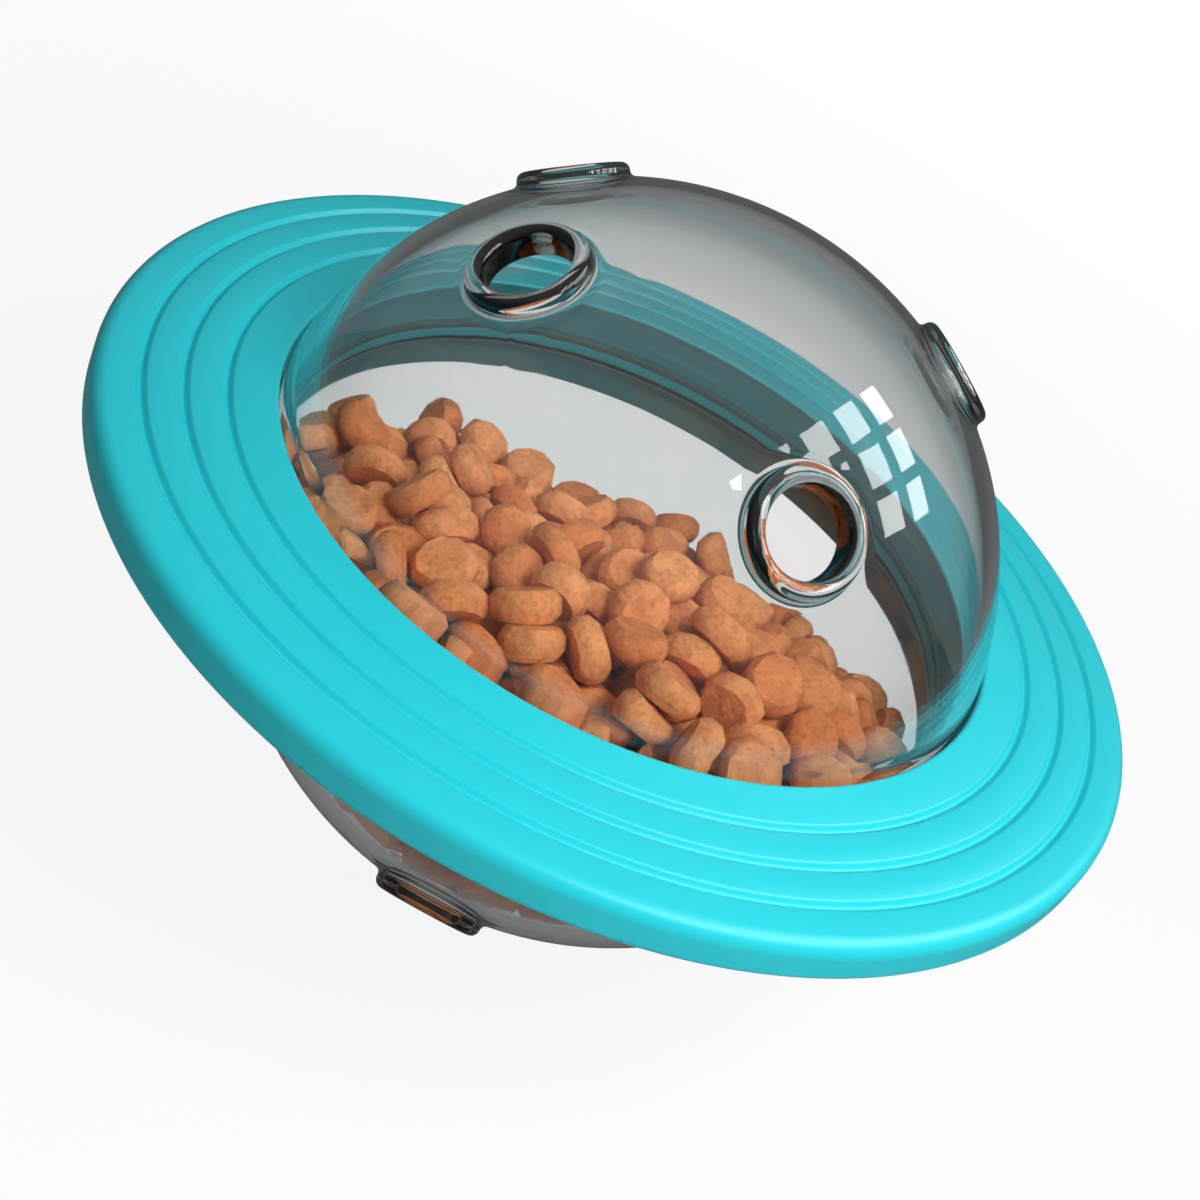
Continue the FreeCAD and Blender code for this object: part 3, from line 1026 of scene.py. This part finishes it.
    def tones(self, piece: Item, number: int, rng: np.random.Generator) -> None:
        """Writes how light each kibble is baked to an attribute of its points."""
        tone = np.repeat(rng.uniform(0, 1, number), len(piece.data.vertices) // number)
        layer = piece.data.attributes.new(self.TONE, "FLOAT", "POINT")
        layer.data.foreach_set("value", tone.astype(np.float32))


def add_lamp(name: str, size: Pair, power: float, place: Matrix, unseen: Sequence[str]) -> None:
    """Adds one rectangular lamp, in metres and watts, that some kinds of ray don't meet."""
    data = bpy.data.lights.new(name, "AREA")
    data.shape = "RECTANGLE"
    data.size, data.size_y = size
    data.energy = power
    lamp = add_item(name, data)
    lamp.matrix_world = place
    for kind in unseen:
        setattr(lamp, f"visible_{kind}", False)


@dataclass(frozen=True)
class Lamp:
    """A soft lamp, in metres and watts, aimed at the ball and neither seen nor mirrored."""

    name: str
    place: Triple
    size: Pair
    power: float

    def build(self) -> None:
        """Makes the lamp."""
        aim = (-Vector(self.place)).to_track_quat("-Z", "Y").to_matrix().to_4x4()
        place = Matrix.Translation(Vector(self.place)) @ aim
        add_lamp(self.name, self.size, self.power, place, ("glossy", "transmission", "camera"))


@dataclass(frozen=True)
class Window:
    """A window with panes and bars, in metres and watts: the bright grid that the domes mirror."""

    middle: Triple = (0.328, 0.009, 0.41)
    across: Triple = (0.199, 0.964, -0.179)
    up: Triple = (-0.755, 0.267, 0.599)
    panes: tuple[int, int] = (5, 3)
    pitch: Pair = (0.13, 0.1)
    glass: Pair = (0.085, 0.075)
    power: float = 2.4

    def build(self) -> None:
        """Makes one lamp for each pane, all of them in the window's plane."""
        across, up = Vector(self.across).normalized(), Vector(self.up).normalized()
        facing = across.cross(up).normalized()
        turn = Matrix((across, up, facing)).transposed().to_4x4()
        power = self.power / (self.panes[0] * self.panes[1])
        for column in range(self.panes[0]):
            for row in range(self.panes[1]):
                shift = across * (column - (self.panes[0] - 1) / 2) * self.pitch[0]
                shift += up * (row - (self.panes[1] - 1) / 2) * self.pitch[1]
                place = Matrix.Translation(Vector(self.middle) + shift) @ turn
                unseen = ("diffuse", "transmission", "camera")
                add_lamp("window_pane", self.glass, power, place, unseen)


@dataclass
class Studio:
    """Pale floor, soft lamps, white surroundings and the camera.

    The surround is the even light on the pieces. The two rooms, mirrored and seen through a dome,
    are strengths at the horizon and above.
    """

    floor_height: float = -53.4
    floor_radius: float = 9000.0
    floor_rings: tuple[float, ...] = (0.0, 0.02, 0.1, 1.0)
    floor_columns: int = 64
    paper: SeamlessPaper = SeamlessPaper()
    surround: float = 0.18
    mirrored_room: Pair = (0.12, 0.45)
    room: Pair = (0.45, 0.9)
    bounced_room: float = 0.55
    horizon: Pair = (0.05, 0.8)
    camera_place: Triple = (0.0, -187.7, 123.0)
    camera_target: Triple = (0.0, 0.0, 11.8)
    camera_roll: float = 28.78
    lens: float = 47.25
    sensor: float = 36.0
    shift: Pair = (-0.0423, -0.087)
    clip: Pair = (0.01, 50.0)
    window: Window = Window()
    lamps: tuple[Lamp, ...] = (
        Lamp("near_lamp", (0.1, -0.14, 0.2), (0.1, 0.1), 0.5),
        Lamp("window_lamp", (0.328, 0.009, 0.41), (0.4, 0.3), 0.7),
    )

    def floor(self) -> None:
        """Makes the floor, a wide flat disc of seamless paper."""
        skin = Skin()
        rings = [(share * self.floor_radius, self.floor_height) for share in self.floor_rings]
        skin.grid(spun(np.array(rings), self.floor_columns))
        made = skin.piece("floor")
        made.data.materials.append(self.paper.material())

    def surroundings(self) -> None:
        """Makes the world.

        It is white behind the object, an even soft light on it, and a room that is darker towards
        the horizon where it is mirrored or seen through glass.
        """
        world = bpy.data.worlds.new("soft_surroundings")
        bpy.context.scene.world = world
        world.use_nodes = True
        tree = world.node_tree
        tree.nodes.clear()
        path = add_node(tree, "LightPath").outputs
        place = add_node(tree, "TexCoord").outputs["Generated"]
        height = add_node(tree, "SeparateXYZ", {0: place}).outputs["Z"]
        mirrored = spread(tree, height, self.horizon, self.mirrored_room)
        clear = spread(tree, height, self.horizon, self.room)
        bounced = spread(tree, path["Glossy Depth"], (0.0, 1.0), (1.0, self.bounced_room))
        dimmed = calculate(tree, "MULTIPLY", clear, bounced)
        room = blend_values(tree, path["Is Transmission Ray"], mirrored, dimmed)
        lit = blend_values(tree, path["Is Diffuse Ray"], room, self.surround)
        strength = blend_values(tree, path["Is Camera Ray"], lit, 1.0)
        sky = add_node(tree, "Background", {"Color": linear("#FFFFFF"), "Strength": strength})
        add_node(tree, "OutputWorld", {"Surface": sky.outputs[0]})

    def camera(self) -> None:
        """Makes the camera, turned counterclockwise so that the ball's axis leans to the right."""
        data = bpy.data.cameras.new("camera")
        data.lens = self.lens
        data.sensor_width = self.sensor
        data.shift_x, data.shift_y = self.shift
        data.clip_start, data.clip_end = self.clip
        made = add_item("camera", data)
        place, target = Vector(self.camera_place) * MM, Vector(self.camera_target) * MM
        aim = (target - place).to_track_quat("-Z", "Y").to_matrix().to_4x4()
        roll = Matrix.Rotation(math.radians(self.camera_roll), 4, "Z")
        made.matrix_world = Matrix.Translation(place) @ aim @ roll
        bpy.context.scene.camera = made

    def build(self) -> None:
        """Makes everything round the object."""
        self.floor()
        self.surroundings()
        self.camera()
        self.window.build()
        for lamp in self.lamps:
            lamp.build()
        bpy.context.scene.view_settings.view_transform = "Standard"


def main() -> None:
    """Builds the pieces in order, then the studio."""
    logging.basicConfig(level=logging.INFO, format="%(name)s: %(message)s")
    heap = KibbleHeap().build()
    dress(heap, BakedKibble().material(), Slot.KIBBLE, Body.LOWER_DOME, "kibble_top", "kibble_bed")
    turquoise = MouldedAbs().material()
    top, underside = SaucerRing().build()
    dress(top, turquoise, Slot.TURQUOISE, Body.RING, "ring_upper_shell")
    dress(underside, turquoise, Slot.TURQUOISE, Body.RING, "ring_lower_shell")
    clear = ClearPolycarbonate().material()
    dome_top = Dome(collar=51.9, rim_height=6.0).build("dome_top", False)
    dress(dome_top, clear, Slot.CLEAR, Body.UPPER_DOME, "upper_dome")
    dome_bottom = Dome(collar=53.4, rim_height=-1.6).build("dome_bottom", True)
    dress(dome_bottom, clear, Slot.CLEAR, Body.LOWER_DOME, "lower_dome")
    silicone = MouldedSilicone().material()
    for name in ("upper_seal", "lower_seal"):
        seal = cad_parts[name]
        seal.data.materials.clear()
        seal.data.materials.append(silicone)
        LOG.info("%s keeps its solid", name)
    Studio().build()


if __name__ == "__main__":
    main()
